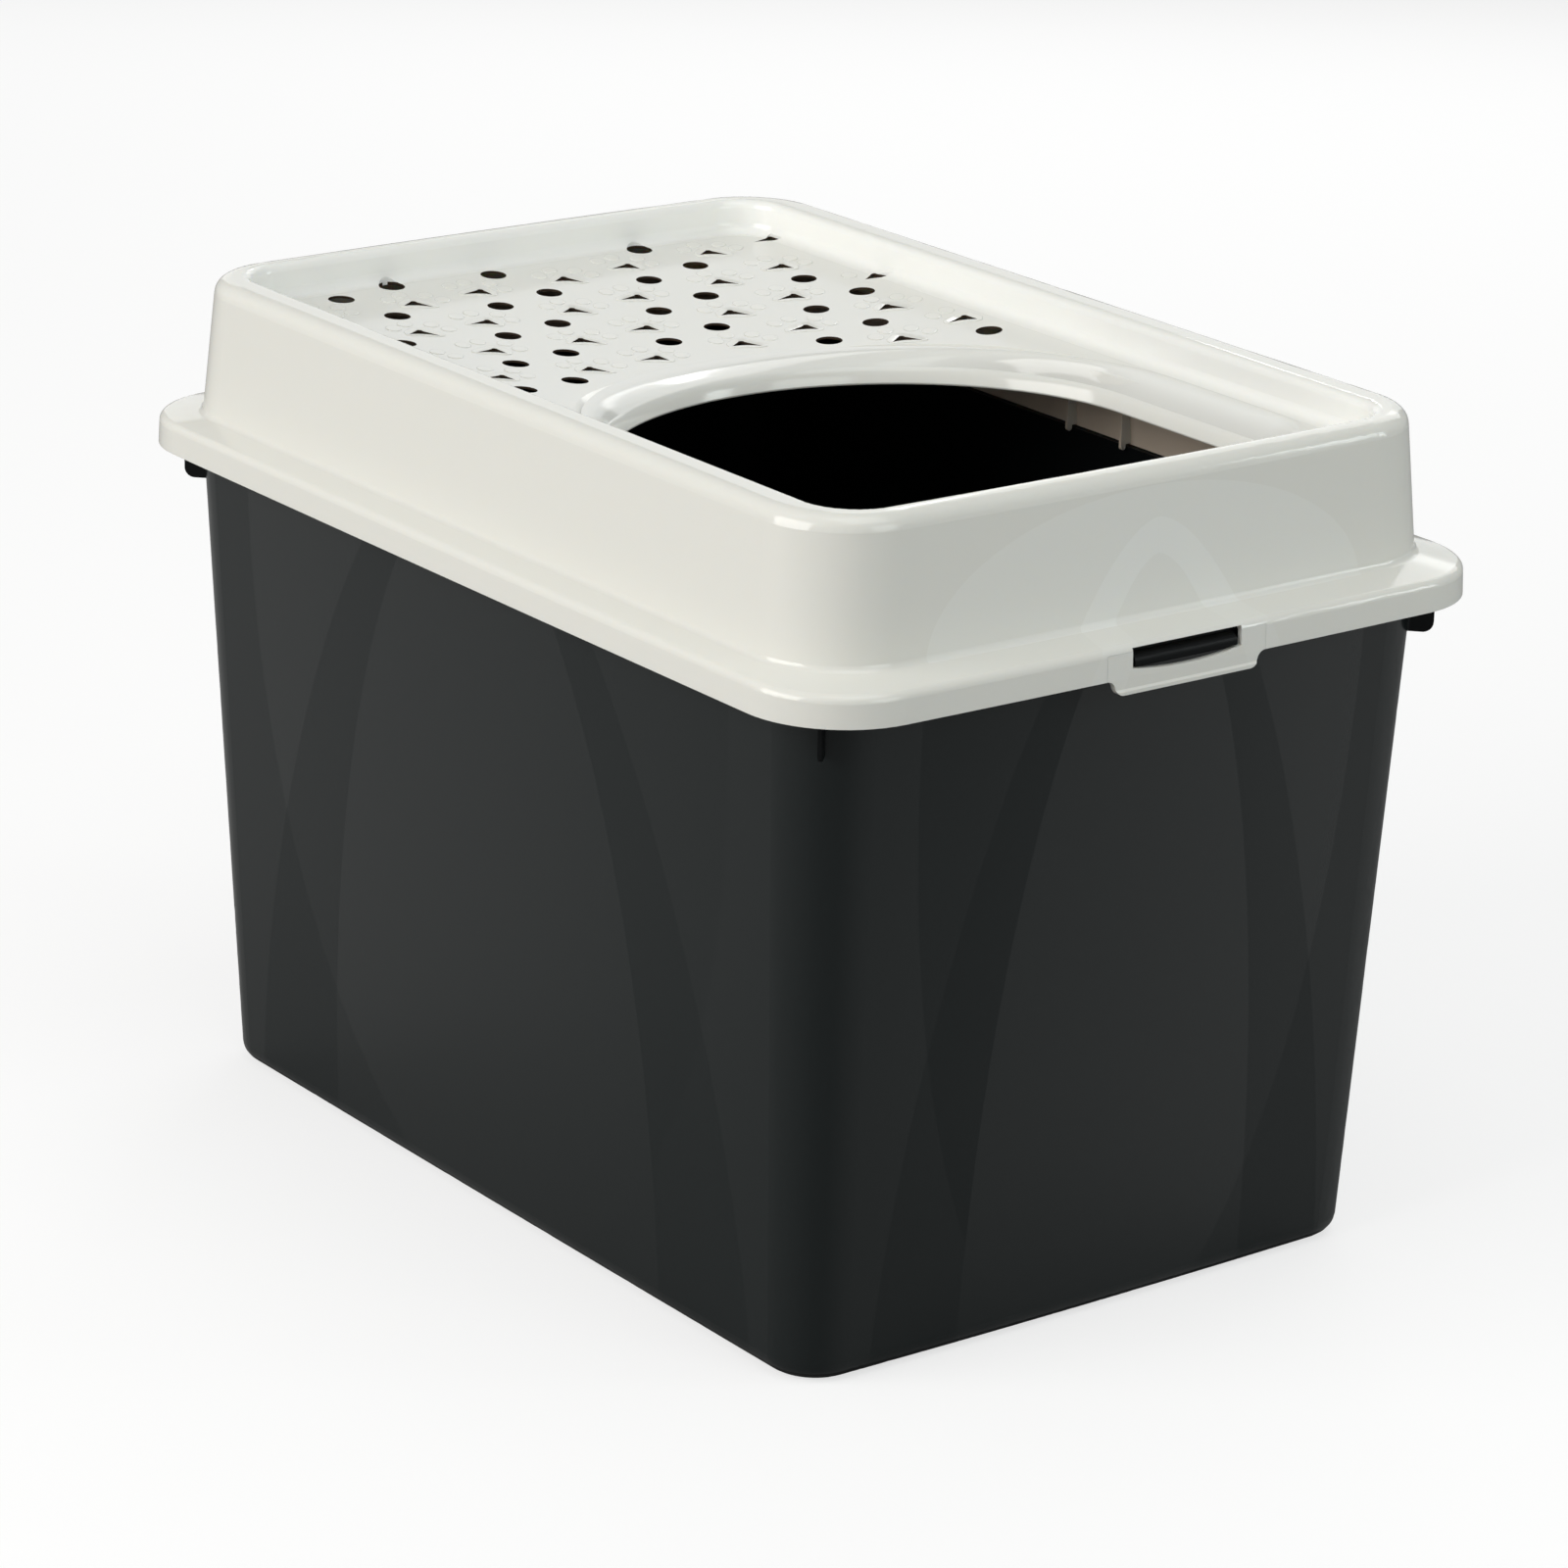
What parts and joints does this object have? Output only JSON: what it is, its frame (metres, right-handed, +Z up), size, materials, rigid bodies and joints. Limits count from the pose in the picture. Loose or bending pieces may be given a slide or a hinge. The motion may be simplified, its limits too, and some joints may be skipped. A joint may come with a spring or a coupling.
{
  "type": "litter box",
  "caption": "Top-entry litter box: tapered open tub under a hooded lid with a dished, perforated deck, a wide rolled entry and flexing skirt tabs that clip over catches on the tub rim.",
  "frame": {"origin": "on the floor under the middle of the box", "axes": "+X along the length towards the front tab, +Y across the width, +Z up"},
  "size_m": [0.572, 0.393, 0.404],
  "materials": {
    "tub_plastic": "charcoal polypropylene, satin with faint glossy arched bands",
    "lid_plastic": "off-white polypropylene, satin gloss"
  },
  "bodies": {
    "tub": {"tub": "tub_plastic"},
    "lid": {"lid": "lid_plastic"},
    "front_tab": {"front_tab": "lid_plastic"},
    "rear_tab": {"rear_tab": "lid_plastic"}
  },
  "joints": [
    {"name": "lid_lift", "type": "slide", "parent": "tub", "child": "lid", "axis": [0, 0, 1], "range_m": [0, 0.12]},
    {"name": "front_tab_pull", "type": "hinge", "parent": "lid", "child": "front_tab", "pos_m": [0.2846, 0.005, 0.3315], "axis": [0, -1, 0], "range_deg": [0, 18], "stiffness_Nm_per_rad": 0.8},
    {"name": "rear_tab_pull", "type": "hinge", "parent": "lid", "child": "rear_tab", "pos_m": [-0.2846, 0.005, 0.3315], "axis": [0, 1, 0], "range_deg": [0, 18], "stiffness_Nm_per_rad": 0.8}
  ]
}
